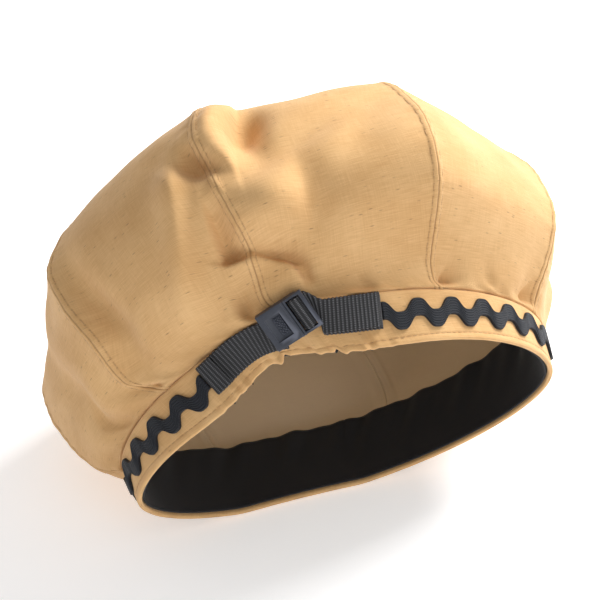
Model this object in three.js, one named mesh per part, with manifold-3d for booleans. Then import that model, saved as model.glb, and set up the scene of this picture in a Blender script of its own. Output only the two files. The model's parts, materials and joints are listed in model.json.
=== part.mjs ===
// Eight panel cap of slubby cotton, lying tipped forward on the front of its crown.
// Millimetres. Every shape is worked out in the cap's own frame: X across the head,
// -Y the back with its buckle, +Y the front, Z up the crown from the plane of the rim.
// The last group turns the cap onto the floor, with its opening towards -Y.

import * as THREE from 'three';
import { mergeVertices } from 'three/addons/utils/BufferGeometryUtils.js';
import Module from 'manifold-3d';

// How the cap lies
const tipForward = 73.3;        // degrees, from standing on its rim to lying on its front
const turnAside = 8.1;          // degrees, the front rolled aside before it tips
const pressIn = 1.2;            // how far the floor presses into the lowest stretch of the rim
const pressSoftness = 5;        // reach of the bend between pressed flat and free cloth
const pressSoftnessRim = 1;

// Head opening at the rim and the upper edge of the band
const rimHalf = 111.8;
const rimBack = 83.7;
const rimFront = 59.4;
const rimShift = -0.6;          // the rim's middle lies this far aside, and its back leans
const rimLean = 3.5;
const bandTopHalf = 115;
const bandTopBack = 101;
const bandTopFront = 66.3;
const bandTopShift = 0.2;
const bandTopLean = -5.9;
const bandRise = 23.5;          // height of the band above the plane of the rim
const bandWall = 2.6;
const rimLift = 12.3;           // the rim is drawn up behind the buckle
const bandTopLift = 2.7;
const liftAngle = -17;          // degrees round from the back centre
const liftSpread = 13.7;

// Crown
const crownHalf = 141;
const crownBack = 157;
const crownFront = 127;
const crownHeight = 119;        // above the upper edge of the band
const clothWall = 1.8;
const panelCount = 8;
const tipRadius = 1.3;          // the panels' tips leave this at the top
const tipTurn = -0.015;         // share of the round
const foldMiddle = 0.4;         // folds move the cloth away from this share of the height

// Sweatband
const sweatRise = 44;           // height of its free edge above the plane of the rim
const sweatWall = 1.2;
const sweatInset = 2;           // from the rim's edge up to the sweatband's seam
const sweatPuckerDepth = 1.3;
const sweatLean = 3;            // its free edge leans this much into the hollow
const sweatGap = 0.5;
const sweatPuckers = 22;

// Webbing, buckle and rick-rack. Places round the band are millimetres from the back centre,
// and the middle lines are shares of the band's width.
const webWidth = 16.9;
const webWall = 1.5;
const strapLeft = -70;          // end of the folded and stitched tab
const tabLength = 10;
const tabRise = 0.62;
const leftRise = 0.56;          // of the left webbing under the buckle
const strapRight = 26.5;          // fold at the right end of the doubled webbing
const rightRise = 0.68;
const frameRise = 0.82;         // of the right webbing where it leaves the buckle
const frameDip = 0.55;           // the band falls away under that end of the buckle
const frameClear = 2;
const buckleAt = -16;
const buckleRise = 0.88;
const buckleTurn = 24;          // degrees that the buckle climbs towards its right end
const buckleLength = 25.5;
const buckleWidth = 20.4;
const buckleWall = 4;
const blockLength = 14;       // solid left part of the buckle
const ridgeLength = 2.4;
const endBar = 1.9;
const sideBar = 1.4;
const rollBar = 1.7;            // bar that the webbing turns round
const padLength = 5.2;
const padWidth = 10.5;
const pocketLength = 8.4;
const pocketWidth = 12.8;
const pocketDepth = 1.3;
const padGap = 0.5;             // from the raised pad to the pocket's end
const ridgeHeight = 0.6;
const ridgeGroove = 0.4;
const rickTall = 8.8;           // height of the braid, the same all along its wave
const rickSwing = 3.3;          // from the middle line to the middle of the braid at a crest
const rickPitch = 20.5;
const rickWall = 1.3;
const rickRise = 0.535;         // middle line of the braid

// Clearances
const seamGap = 0.3;            // between sewn pieces
const rickEndGap = 0.8;         // from the ends of the braid to the strap
const layGap = 0.3;             // between a piece and what it lies on

// Exponents of the oval sections, 2 being an ellipse
const backFullness = 1.76;
const frontFullness = 1.95;
const crownFullness = 2.1;

// Turns a row of a table into an object with a name for each column
function namedColumns(columns) {
  return (row) => Object.fromEntries(columns.map((column, i) => [column, row[i]]));
}

// Crown sections from the band's seam upwards. rise is a share of crownHeight; half, back
// and front are shares of crownHalf, crownBack and crownFront; shift and lean move the
// section and its back half across, in shares of crownHalf; turn carries the seams round,
// in shares of the whole round; facet is how flat the cloth lies between two seams.
const sectionColumns = ['rise', 'half', 'back', 'front', 'shift', 'lean', 'turn', 'facet'];
const crownSections = [
  [0.07, 0.890, 0.680, 0.550, -0.015, 0, -0.020, 0.25],
  [0.22, 0.976, 0.965, 0.640, 0, 0.05, -0.032, 0.70],
  [0.42, 1.005, 1.055, 0.850, -0.013, 0.02, -0.027, 0.80],
  [0.62, 0.982, 1.028, 0.945, -0.014, -0.05, -0.016, 0.80],
  [0.80, 0.850, 0.940, 0.825, 0.005, -0.085, -0.008, 0.65],
  [0.92, 0.634, 0.661, 0.608, -0.003, -0.05, -0.012, 0.45],
  [0.98, 0.317, 0.344, 0.339, -0.018, -0.06, -0.017, 0.25],
];

// Folds and dents of the crown. round counts panels from the back seam, rise is a share of
// the way up the sections, tilt is degrees from straight up the panel, and the other
// columns are shares of one panel's width: depth above 0 stands out, below 0 is a dent.
const foldColumns = ['round', 'rise', 'tilt', 'length', 'width', 'depth'];
const crownFolds = [
  [0.20, 0.50, 0, 0.26, 0.09, -0.050],
  [0.36, 0.41, 62, 0.34, 0.12, -0.050],
  [0.08, 0.47, 0, 0.26, 0.08, 0.025],
  [7.93, 0.43, -35, 0.20, 0.10, -0.040],
  [7.88, 0.25, 20, 0.20, 0.12, -0.065],
  [0.14, 0.20, 62, 0.28, 0.09, -0.060],
  [0.20, 0.14, 40, 0.20, 0.10, 0.030],
  [7.14, 0.26, -4, 0.50, 0.09, -0.045],
  [7.50, 0.24, 10, 0.60, 0.16, 0.030],
  [6.50, 0.24, -14, 0.55, 0.12, -0.040],
  [6.78, 0.20, -14, 0.50, 0.12, 0.025],
  [6.90, 0.13, -10, 0.22, 0.09, -0.035],
  [1.08, 0.06, 0, 0.22, 0.08, -0.030],
  [1.86, 0.07, 8, 0.22, 0.09, -0.035],
  [2.50, 0.30, 20, 0.60, 0.14, -0.035],
  [0.60, 0.72, 30, 0.50, 0.16, -0.045],
  [6.70, 0.70, -25, 0.50, 0.16, -0.040],
].map(namedColumns(foldColumns));

const backSeamShare = -0.02;    // where the back seam meets the band, share of the round
const ringSteps = 144;
const acrossSteps = 9;          // facets across one panel
const foldFree = 0.06;          // folds die out below this share of the way up
const upSteps = 21;             // facets from the band to the tip
const bandSteps = 74;
const bandRows = 3;
const strapStep = 8;            // longest facet along the webbing
const waveSteps = 8;            // facets along one wave of the rick-rack
const radians = Math.PI / 180;

// Direction straight up from the floor, and the lowest level of the rim along it
const floorUp = new THREE.Vector3(
  Math.sin(turnAside * radians) * Math.sin(tipForward * radians),
  -Math.cos(turnAside * radians) * Math.sin(tipForward * radians),
  Math.cos(tipForward * radians),
);

// One point of an oval section, at an angle round from the back centre
function ovalPoint(section, angle) {
  const side = Math.sin(angle);
  const back = Math.cos(angle);
  const power = back > 0 ? section.backPower : section.frontPower;
  const reach = (Math.abs(side) ** power + Math.abs(back) ** power) ** (-1 / power);
  const depth = back > 0 ? section.back : section.front;
  const lean = section.lean * Math.max(back, 0) ** 2;
  return new THREE.Vector3(section.half * side * reach + section.shift + lean,
    -depth * back * reach, section.z);
}

// The rim is drawn up where the elastic and the buckle gather it
function liftAt(angle) {
  const away = (angle / radians - liftAngle) / liftSpread;
  return Math.exp(-away * away);
}

// A ring of points with its running length, so that it can be read at any share of the round
function measureRing(section) {
  const points = [];
  const lengths = [0];
  for (let i = 0; i <= ringSteps; i += 1) {
    const angle = (i / ringSteps) * 2 * Math.PI - Math.PI;
    const point = ovalPoint(section, angle);
    point.z += (section.lift || 0) * liftAt(angle);
    points.push(point);
    if (i > 0) lengths.push(lengths[i - 1] + point.distanceTo(points[i - 1]));
  }
  const middle = new THREE.Vector3(section.shift, 0, section.z);
  return { points, lengths, middle, round: lengths[ringSteps], start: lengths[ringSteps / 2] };
}

// Point at a share of the round, counted from the back centre towards +X
function ringPoint(ring, share) {
  const wanted = THREE.MathUtils.euclideanModulo(ring.start + share * ring.round, ring.round);
  let low = 0;
  let high = ringSteps;
  while (high - low > 1) {
    const half = (low + high) >> 1;
    if (ring.lengths[half] <= wanted) low = half; else high = half;
  }
  const part = (wanted - ring.lengths[low]) / (ring.lengths[high] - ring.lengths[low]);
  return ring.points[low].clone().lerp(ring.points[high], part);
}

const rimRing = measureRing({
  half: rimHalf, back: rimBack, front: rimFront, z: 0, shift: rimShift, lean: rimLean,
  backPower: backFullness, frontPower: frontFullness, lift: rimLift,
});
const bandTopSection = {
  half: bandTopHalf, back: bandTopBack, front: bandTopFront, z: bandRise,
  shift: bandTopShift, lean: bandTopLean, backPower: backFullness, frontPower: frontFullness,
  lift: bandTopLift, turn: 0, facet: 0,
};
const bandTopRing = measureRing(bandTopSection);
const floorLevel = Math.min(...rimRing.points.map((point) => point.dot(floorUp))) + pressIn;

// Presses a point that would lie below the floor back onto it, with a soft bend at the edge
function press(point, clearance, softness) {
  const above = point.dot(floorUp) - floorLevel - clearance;
  let kept = above;
  if (above < -softness) kept = 0;
  else if (above < softness) kept = (above + softness) ** 2 / (4 * softness);
  return point.addScaledVector(floorUp, kept - above);
}

// Crown rows as full sections, from the band's seam to the panels' tips
const crownRows = [
  bandTopSection,
  ...crownSections.map(namedColumns(sectionColumns)).map((row) => ({
    half: row.half * crownHalf, back: row.back * crownBack, front: row.front * crownFront,
    z: bandRise + row.rise * crownHeight, shift: row.shift * crownHalf, lean: row.lean * crownHalf,
    backPower: crownFullness, frontPower: crownFullness, lift: 0, turn: row.turn, facet: row.facet,
  })),
  {
    half: tipRadius, back: tipRadius, front: tipRadius, z: bandRise + crownHeight, shift: 0, lean: 0,
    backPower: crownFullness, frontPower: crownFullness, lift: 0, turn: tipTurn, facet: 0,
  },
];

// Smooth curve through four values, from the second to the third
function blend(before, from, to, after, part) {
  return 0.5 * (2 * from + (to - before) * part
    + (2 * before - 5 * from + 4 * to - after) * part ** 2
    + (3 * from - before - 3 * to + after) * part ** 3);
}

// The crown's ring at a share of the way up, kept because many points read the same ring
const keptRings = new Map();
function crownRing(up) {
  const key = up.toFixed(5);
  if (!keptRings.has(key)) {
    const place = Math.min(Math.max(up, 0), 1) * (crownRows.length - 1);
    const low = Math.min(Math.floor(place), crownRows.length - 2);
    const row = {};
    for (const column of Object.keys(crownRows[0])) {
      const [before, from, to, after] = [low - 1, low, low + 1, low + 2].map(
        (i) => crownRows[Math.min(Math.max(i, 0), crownRows.length - 1)][column],
      );
      row[column] = blend(before, from, to, after, place - low);
    }
    row.back = Math.max(row.back, tipRadius);
    row.front = Math.max(row.front, tipRadius);
    row.half = Math.max(row.half, tipRadius);
    keptRings.set(key, { ...measureRing(row), turn: row.turn, facet: row.facet });
  }
  return keptRings.get(key);
}

const panelWidth = crownRing(0.5).round / panelCount;
const panelLength = crownHeight + crownBack;

// How far the folds move the cloth out, at a place counted in panels round and a share up
function foldDepth(round, up) {
  let depth = 0;
  for (const fold of crownFolds) {
    const across = THREE.MathUtils.euclideanModulo(round - fold.round + panelCount / 2, panelCount)
      - panelCount / 2;
    const x = across * crownRing(up).round / panelCount / panelWidth;
    const y = (up - fold.rise) * panelLength / panelWidth;
    const turn = fold.tilt * radians;
    const along = (y * Math.cos(turn) + x * Math.sin(turn)) / fold.length;
    const aside = (x * Math.cos(turn) - y * Math.sin(turn)) / fold.width;
    depth += fold.depth * panelWidth * Math.exp(-along * along - aside * aside);
  }
  return depth * THREE.MathUtils.smoothstep(up, 0, foldFree);
}

// Outer face of the crown, at a place counted in panels from the back seam and a share up
const crownMiddle = new THREE.Vector3(0, 0, bandRise + crownHeight * foldMiddle);
function crownPoint(round, up) {
  const ring = crownRing(up);
  const share = round / panelCount + backSeamShare + ring.turn;
  const point = ringPoint(ring, share);
  const between = (round - Math.floor(round) - 0.5) * 2 * Math.PI / panelCount;
  const draw = 1 - ring.facet * (1 - Math.cos(Math.PI / panelCount) / Math.cos(between));
  point.sub(ring.middle).multiplyScalar(draw).add(ring.middle);
  const outward = point.clone().sub(crownMiddle).normalize();
  point.addScaledVector(outward, foldDepth(round, up));
  return press(point, 0, pressSoftness);
}

// Outer face of the band, at a share of the round from the back centre, a share of the way
// up it and a distance out. Beyond 0 and 1 the face runs on straight.
const braidRoom = rickWall + layGap;
function bandFace(share, up) {
  const point = ringPoint(rimRing, share).lerp(ringPoint(bandTopRing, share), up);
  return press(point, braidRoom, pressSoftnessRim);
}

function normalOf(face, u, v, stepU, stepV) {
  const alongU = face(u + stepU, v).sub(face(u - stepU, v));
  const alongV = face(u, v + stepV).sub(face(u, v - stepV));
  return alongU.cross(alongV).normalize();
}

function bandPoint(share, up, out) {
  return bandFace(share, up).addScaledVector(normalOf(bandFace, share, up, 0.004, 0.02), out);
}

// Place just over the band's upper edge, where a panel is sewn on
function aboveBand(share, out) {
  const edge = bandPoint(share, 1, out);
  const upward = edge.clone().sub(bandPoint(share, 0.9, out)).normalize();
  return edge.addScaledVector(upward, seamGap);
}

// Closed body from a grid of outer points and the inner points behind them.
// A ring grid closes on itself; an open grid also gets a wall down its two sides.
function shellGeometry(outer, inner, ring) {
  const rows = outer.length;
  const columns = outer[0].length;
  const positions = [];
  for (const grid of [outer, inner]) {
    for (const row of grid) for (const point of row) positions.push(point.x, point.y, point.z);
  }
  const at = (layer, row, column) => layer * rows * columns + row * columns + column % columns;
  const faces = [];
  const quad = (a, b, c, d) => faces.push(a, b, c, a, c, d);
  const last = ring ? columns : columns - 1;
  for (let i = 0; i < rows - 1; i += 1) {
    for (let j = 0; j < last; j += 1) {
      quad(at(0, i, j), at(0, i, j + 1), at(0, i + 1, j + 1), at(0, i + 1, j));
      quad(at(1, i, j), at(1, i + 1, j), at(1, i + 1, j + 1), at(1, i, j + 1));
    }
  }
  for (let j = 0; j < last; j += 1) {
    quad(at(1, 0, j), at(1, 0, j + 1), at(0, 0, j + 1), at(0, 0, j));
    quad(at(0, rows - 1, j), at(0, rows - 1, j + 1), at(1, rows - 1, j + 1), at(1, rows - 1, j));
  }
  if (!ring) {
    for (let i = 0; i < rows - 1; i += 1) {
      quad(at(0, i + 1, 0), at(1, i + 1, 0), at(1, i, 0), at(0, i, 0));
      quad(at(1, i, last), at(1, i + 1, last), at(0, i + 1, last), at(0, i, last));
    }
  }
  const geometry = new THREE.BufferGeometry();
  geometry.setAttribute('position', new THREE.Float32BufferAttribute(positions, 3));
  geometry.setIndex(faces);
  return geometry;
}

function cotton(color) {
  return new THREE.MeshStandardMaterial({ color, roughness: 0.92, metalness: 0 });
}

function namedMesh(name, geometry, material) {
  geometry.computeVertexNormals();
  const mesh = new THREE.Mesh(geometry, material);
  mesh.name = name;
  return mesh;
}

// One crown panel, a curved gore with a gap to its neighbours and to the band
function makePanel(index) {
  const outer = [];
  const inner = [];
  for (let i = 0; i <= upSteps; i += 1) {
    const up = i / upSteps;
    const gap = seamGap / crownRing(up).round * panelCount;
    const outerRow = [];
    const innerRow = [];
    for (let j = 0; j <= acrossSteps; j += 1) {
      const round = index + gap / 2 + (1 - gap) * j / acrossSteps;
      const point = crownPoint(round, up);
      const normal = normalOf(crownPoint, round, Math.min(Math.max(up, 0.012), 0.985), 0.04, 0.01);
      if (i === 0) {
        const share = round / panelCount + backSeamShare;
        outerRow.push(aboveBand(share, 0));
        innerRow.push(aboveBand(share, -clothWall));
      } else {
        outerRow.push(point);
        innerRow.push(point.clone().addScaledVector(normal, -clothWall));
      }
    }
    outer.push(outerRow);
    inner.push(innerRow);
  }
  return namedMesh(`panel_${index + 1}`, shellGeometry(outer, inner, false), cotton(0xd9ab6c));
}

// Ring of cloth against the band, from one share of the way up to another
function makeRing(name, material, from, to, outside, wall, rows, ripple) {
  const outer = [];
  const inner = [];
  for (let i = 0; i <= rows; i += 1) {
    const up = from + (to - from) * i / rows;
    const outerRow = [];
    const innerRow = [];
    for (let j = 0; j < bandSteps; j += 1) {
      const share = j / bandSteps;
      const shift = outside + ripple(share, i / rows);
      outerRow.push(bandPoint(share, up, shift));
      innerRow.push(bandPoint(share, up, shift - wall));
    }
    outer.push(outerRow);
    inner.push(innerRow);
  }
  return namedMesh(name, shellGeometry(outer, inner, true), material);
}

const bandRound = bandTopRing.round;

// The band's width at a place round it, and how much its upper edge is sheared there
function slantAt(round) {
  const share = round / bandRound;
  return ringPoint(rimRing, share).distanceTo(ringPoint(bandTopRing, share));
}

function skewAt(round) {
  const share = round / bandRound;
  const upward = ringPoint(bandTopRing, share).sub(ringPoint(rimRing, share)).normalize();
  const along = bandFace(share + 0.004, 0.5).sub(bandFace(share - 0.004, 0.5)).normalize();
  return upward.dot(along);
}

// Place on the band by millimetres round from the back centre, millimetres up from the rim
// and millimetres out
const layOnBand = (place) => bandPoint(place.x / bandRound, place.y / slantAt(place.x), place.z);

// The way square across a line on the band, in such millimetres
function squareOnBand(round, line) {
  const skew = skewAt(round);
  const square = Math.sqrt(1 - skew * skew);
  const along = line.x + line.y * skew;
  return new THREE.Vector3(-line.y * square - along * skew / square, along / square, 0);
}

// Strip of cloth. Each station has the place of the strip's middle, the ways to its side and
// out of it, and how such a place is laid on the cap.
function makeStrip(name, material, stations, width, wall) {
  const outer = [[], []];
  const inner = [[], []];
  for (const { place, aside, outward, lay } of stations) {
    for (const [side, sign] of [[0, -1], [1, 1]]) {
      const edge = place.clone().addScaledVector(aside, sign * width / 2);
      outer[side].push(lay(edge.clone().addScaledVector(outward, wall / 2)));
      inner[side].push(lay(edge.clone().addScaledVector(outward, -wall / 2)));
    }
  }
  return namedMesh(name, shellGeometry(outer, inner, false), material);
}

const cap = new THREE.Group();
for (let index = 0; index < panelCount; index += 1) cap.add(makePanel(index));
cap.add(makeRing('band', cotton(0xd6a868), 0, 1, 0, bandWall, bandRows, () => 0));

// The sweatband stands behind the band and puckers towards its free edge
const sweatPucker = (share, up) => (
  0.5 * sweatPuckerDepth * up ** 2 * (Math.cos(share * sweatPuckers * 2 * Math.PI) - 1)
  - sweatLean * up ** 2);
cap.add(makeRing('sweatband', cotton(0x1b1a1c), sweatInset / bandRise, sweatRise / bandRise,
  -bandWall - sweatGap, sweatWall, bandRows, sweatPucker));

// Rick-rack, from the right end of the strap round the front to its left end. Both ends of
// the strap stand square on the band, so the braid starts where its line meets theirs.
const rickLine = (round) => rickRise * slantAt(round);
const levelLine = new THREE.Vector3(1, 0, 0);
function squareFoot(round, rise) {
  const square = squareOnBand(round, levelLine);
  return round - (rise - rickLine(round)) * square.x / square.y;
}
const rickStart = squareFoot(strapRight, rightRise * slantAt(strapRight)) + rickEndGap;
const rickEnd = squareFoot(strapLeft, tabRise * slantAt(strapLeft)) - rickEndGap;
const rickLength = bandRound + rickEnd - rickStart;
const rickWaves = Math.round(rickLength / rickPitch);
const rickStations = [];
for (let i = 0; i <= rickWaves * waveSteps; i += 1) {
  const round = rickStart + i / waveSteps * rickLength / rickWaves;
  const aside = squareOnBand(round, levelLine);
  const place = new THREE.Vector3(round, rickLine(round), layGap + rickWall / 2)
    .addScaledVector(aside, rickSwing * Math.cos(i / waveSteps * 2 * Math.PI));
  rickStations.push({ place, aside, outward: new THREE.Vector3(0, 0, 1), lay: layOnBand });
}
cap.add(makeStrip('rick_rack', cotton(0x1d1e22), rickStations, rickTall, rickWall));

// Stations of a strap from points that each have a place along it, a distance out and the
// angle it runs at, up from along. line gives the height of its middle, lay its frame and
// square the way across it there.
function strapStations(points, line, lay, square) {
  return points.map(([along, out, angle]) => {
    const slope = new THREE.Vector3(1, line(along + 0.5) - line(along - 0.5), 0).normalize();
    const outward = slope.clone().multiplyScalar(-Math.sin(angle * radians));
    outward.z = Math.cos(angle * radians);
    return {
      place: new THREE.Vector3(along, line(along), out), aside: square(along, slope), outward, lay,
    };
  });
}

// Points of a straight stretch, close enough to follow the round of the band
function straight(from, to, out) {
  const steps = Math.ceil(Math.abs(to - from) / strapStep);
  return Array.from({ length: steps + 1 }, (_, i) => (
    [from + (to - from) * i / steps, out, to > from ? 0 : 180]));
}

// Points of a bend about a middle, between two angles in degrees
function bend(along, out, radius, from, to, steps) {
  return Array.from({ length: steps + 1 }, (_, i) => {
    const angle = from + (to - from) * i / steps;
    return [along + radius * Math.cos(angle * radians), out + radius * Math.sin(angle * radians),
      angle + Math.sign(to - from) * 90];
  });
}

const webbing = () => new THREE.MeshStandardMaterial({
  color: 0x17171a, roughness: 0.7, metalness: 0,
});
const lowerOut = layGap + webWall / 2;
const upperOut = lowerOut + webWall + layGap;
const foldRadius = (upperOut - lowerOut) / 2;

// The left webbing folds back on itself at the tab and ends under the buckle
const leftLine = (round) => THREE.MathUtils.mapLinear(round, strapLeft, buckleAt,
  tabRise * slantAt(strapLeft), leftRise * slantAt(buckleAt));
const foldRound = strapLeft + webWall / 2 + foldRadius;
cap.add(makeStrip('strap_left', webbing(), strapStations([
  ...straight(strapLeft + tabLength, foldRound + foldRadius, upperOut),
  ...bend(foldRound, (lowerOut + upperOut) / 2, foldRadius, 90, 270, 4),
  ...straight(foldRound + foldRadius, buckleAt - blockLength / 2, lowerOut),
], leftLine, layOnBand, squareOnBand), webWidth, webWall));

// Frame of the buckle, its X along the strap, Y across it and Z out from the cap
const buckleFloor = lowerOut + webWall / 2 + layGap;
const buckleHeight = buckleRise * slantAt(buckleAt);
const buckleOrigin = layOnBand(new THREE.Vector3(buckleAt, buckleHeight, buckleFloor));
const buckleOut = buckleOrigin.clone()
  .sub(layOnBand(new THREE.Vector3(buckleAt, buckleHeight, 0))).normalize();
const buckleUp = layOnBand(new THREE.Vector3(buckleAt, buckleHeight, buckleFloor)
  .add(squareOnBand(buckleAt, levelLine))).sub(buckleOrigin);
const buckleAlong = buckleUp.clone().cross(buckleOut).normalize();
buckleUp.copy(buckleOut).cross(buckleAlong);
const buckleFrame = new THREE.Matrix4().makeBasis(buckleAlong, buckleUp, buckleOut)
  .setPosition(buckleOrigin)
  .multiply(new THREE.Matrix4().makeRotationZ(buckleTurn * radians));
const layInBuckle = (place) => place.clone().applyMatrix4(buckleFrame);
const squareInBuckle = () => new THREE.Vector3(0, 1, 0);

// The doubled right webbing comes in under the end bar, turns round the roll bar in the
// window and goes back over itself to a fold at its right end
const windowFrom = -buckleLength / 2 + blockLength + ridgeLength;
const windowTo = buckleLength / 2 - endBar;
const rollRadius = rollBar * Math.SQRT1_2 + 2 * layGap + webWall / 2;
const rollAlong = windowFrom + layGap + webWall / 2 + rollRadius;
const rollOut = buckleWall / 2;
const lowerUnder = lowerOut - buckleFloor - frameDip;
const upperUnder = lowerUnder + webWall + layGap;
const rightLine = (round) => THREE.MathUtils.mapLinear(round, buckleAt + buckleLength / 2,
  strapRight, frameRise * slantAt(buckleAt), rightRise * slantAt(strapRight));
const middleLine = () => 0;
const rightFold = strapRight - webWall / 2;
const rightStart = buckleAt + buckleLength / 2 + frameClear;
cap.add(makeStrip('strap_right', webbing(), [
  ...strapStations(straight(rightFold - webWall, rightStart, lowerOut), rightLine, layOnBand,
    squareOnBand),
  ...strapStations([
    [windowTo - layGap, lowerUnder, 180],
    ...bend(rollAlong, rollOut, rollRadius, 270, 0, 9),
    [windowTo - webWall / 2 - layGap, (rollOut + upperUnder) / 2, 300],
    [windowTo + endBar / 2, upperUnder, 0],
  ], middleLine, layInBuckle, squareInBuckle),
  ...strapStations([
    ...straight(rightStart, rightFold - foldRadius, upperOut),
    ...bend(rightFold - foldRadius, upperOut - foldRadius, foldRadius, 45, 0, 1),
    [rightFold, lowerOut, 270],
  ], rightLine, layOnBand, squareOnBand),
], webWidth, webWall));

// The buckle is cut as one piece of moulded plastic
const wasm = await Module();
wasm.setup();
function boxSolid(fromX, toX, width, fromZ, toZ) {
  const geometry = new THREE.BoxGeometry(toX - fromX, width, toZ - fromZ);
  geometry.translate((fromX + toX) / 2, 0, (fromZ + toZ) / 2);
  geometry.deleteAttribute('normal');
  geometry.deleteAttribute('uv');
  const merged = mergeVertices(geometry);
  return new wasm.Manifold(new wasm.Mesh({
    numProp: 3,
    vertProperties: new Float32Array(merged.attributes.position.array),
    triVerts: new Uint32Array(merged.index.array),
  }));
}
function makeBuckle() {
  const half = buckleLength / 2;
  const frontWidth = buckleWidth - 2 * sideBar;
  const pocketFrom = -half + (blockLength - pocketLength) / 2;
  const pocketTo = pocketFrom + pocketLength;
  const pocketFloor = buckleWall - pocketDepth;
  const ridgeFrom = windowFrom - ridgeLength;
  const ridgeWide = (ridgeLength - ridgeGroove) / 2;
  const ridgeTop = buckleWall + ridgeHeight;
  const body = boxSolid(-half, half, buckleWidth, 0, buckleWall)
    .subtract(boxSolid(windowFrom, windowTo, frontWidth, -1, buckleWall + 1))
    .subtract(boxSolid(windowTo - endBar, half + 1, buckleWidth + 1, -1, buckleWall / 2))
    .subtract(boxSolid(pocketFrom, pocketTo, pocketWidth, pocketFloor, buckleWall + 1))
    .add(boxSolid(pocketTo - padLength, pocketTo - padGap, padWidth,
      pocketFloor - 0.5, buckleWall - pocketDepth / 3))
    .add(boxSolid(ridgeFrom, ridgeFrom + ridgeWide, buckleWidth, buckleWall - 1, ridgeTop))
    .add(boxSolid(windowFrom - ridgeWide, windowFrom, buckleWidth, buckleWall - 1, ridgeTop))
    .add(boxSolid(rollAlong - rollBar / 2, rollAlong + rollBar / 2, frontWidth + 1,
      buckleWall / 2 - rollBar / 2, buckleWall / 2 + rollBar / 2));
  const mesh = body.getMesh();
  const geometry = new THREE.BufferGeometry();
  geometry.setAttribute('position', new THREE.Float32BufferAttribute(mesh.vertProperties, 3));
  geometry.setIndex(Array.from(mesh.triVerts));
  const buckle = namedMesh('buckle', geometry,
    new THREE.MeshStandardMaterial({ color: 0x2b2d33, roughness: 0.45, metalness: 0 }));
  buckle.applyMatrix4(buckleFrame);
  return buckle;
}
cap.add(makeBuckle());

// The cap lies on its front, with the middle of its box over the origin
const lie = new THREE.Group();
lie.rotation.set(-tipForward * radians, 0, -turnAside * radians);
lie.add(cap);
const group = new THREE.Group();
group.add(lie);
group.updateMatrixWorld(true);
const box = new THREE.Box3().setFromObject(group, true);
lie.position.set(-(box.min.x + box.max.x) / 2, -(box.min.y + box.max.y) / 2, -box.min.z);

export default group;
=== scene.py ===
import json
import math

import bmesh
import bpy
import numpy as np
from mathutils import Matrix, Vector


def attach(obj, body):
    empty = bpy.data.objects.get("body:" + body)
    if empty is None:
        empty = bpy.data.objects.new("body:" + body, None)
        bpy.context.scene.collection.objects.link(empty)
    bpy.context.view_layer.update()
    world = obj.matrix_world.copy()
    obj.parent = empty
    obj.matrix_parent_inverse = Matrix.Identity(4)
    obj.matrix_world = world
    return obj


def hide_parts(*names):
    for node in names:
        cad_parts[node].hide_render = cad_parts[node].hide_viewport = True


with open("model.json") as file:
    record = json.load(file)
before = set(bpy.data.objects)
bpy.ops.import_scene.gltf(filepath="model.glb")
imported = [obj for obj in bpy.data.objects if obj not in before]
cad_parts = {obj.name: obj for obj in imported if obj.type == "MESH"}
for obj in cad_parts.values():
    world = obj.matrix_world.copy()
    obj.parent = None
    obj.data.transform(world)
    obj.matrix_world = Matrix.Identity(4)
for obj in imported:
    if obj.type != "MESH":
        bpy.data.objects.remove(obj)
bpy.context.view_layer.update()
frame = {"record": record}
scene = bpy.context.scene
mm = 0.001
print("frame loaded")

# The cap has a frame of its own, in millimetres: X across the head, -Y the back with its
# buckle, Z up the crown from the plane of the rim. It lies tipped onto the front of its crown.
cap = {
    "tipForward": 73.3,      # degrees from standing on the rim
    "turnAside": 8.1,
    "pressSoftness": 5,      # reach of the bend beside the flattened cloth
    "rimSoftness": 1,
    "panels": 8,
}
capTurn = np.array(Matrix.Rotation(math.radians(-cap["tipForward"]), 3, "X")
                   @ Matrix.Rotation(math.radians(-cap["turnAside"]), 3, "Z"))
mounts = {mount["name"]: mount for mount in frame["record"]["mounts"]}
capPlace = np.array(mounts["head_opening"]["pos_m"])
floorUp = capTurn[2]
floorLevel = -capPlace[2] / mm
rng = np.random.default_rng(8)
panels = cap["panels"]


def onFloor(points):
    return points @ capTurn.T * mm + capPlace


def smoothStep(x, low, high):
    t = np.clip((x - low) / (high - low), 0, 1)
    return t * t * (3 - 2 * t)


def hump(x, width):
    return np.exp(-(x / width) ** 2)


def unit(vectors):
    return vectors / np.maximum(np.linalg.norm(vectors, axis=-1, keepdims=True), 1e-9)


def press(points, clearance, softness):
    # cloth that would lie below the floor is laid on it
    above = points @ floorUp - floorLevel - clearance
    soft = (above + softness) ** 2 / (4 * softness)
    kept = np.where(above < -softness, 0, np.where(above < softness, soft, above))
    return points + (kept - above)[..., None] * floorUp


# Head opening, band and what is laid on it
band = {
    "rimHalf": 111.8, "rimBack": 83.7, "rimFront": 59.4, "rimShift": -0.6, "rimLean": 3.5,
    "topHalf": 115, "topBack": 101, "topFront": 66.3, "topShift": 0.2, "topLean": -5.9,
    "rise": 23.5,
    "wall": 2.6,
    "rimLift": 12.3, "topLift": 2.7,      # drawn up behind the buckle
    "liftAngle": -17, "liftSpread": 13.7,
    "backFullness": 1.76, "frontFullness": 1.95,
    "braidRoom": 1.6,                     # the braid lies between the band and the floor
    "layGap": 0.3,
}
ringSteps = 720
shareStep, upStep = 0.004, 0.02           # for the ways round and up the band


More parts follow.
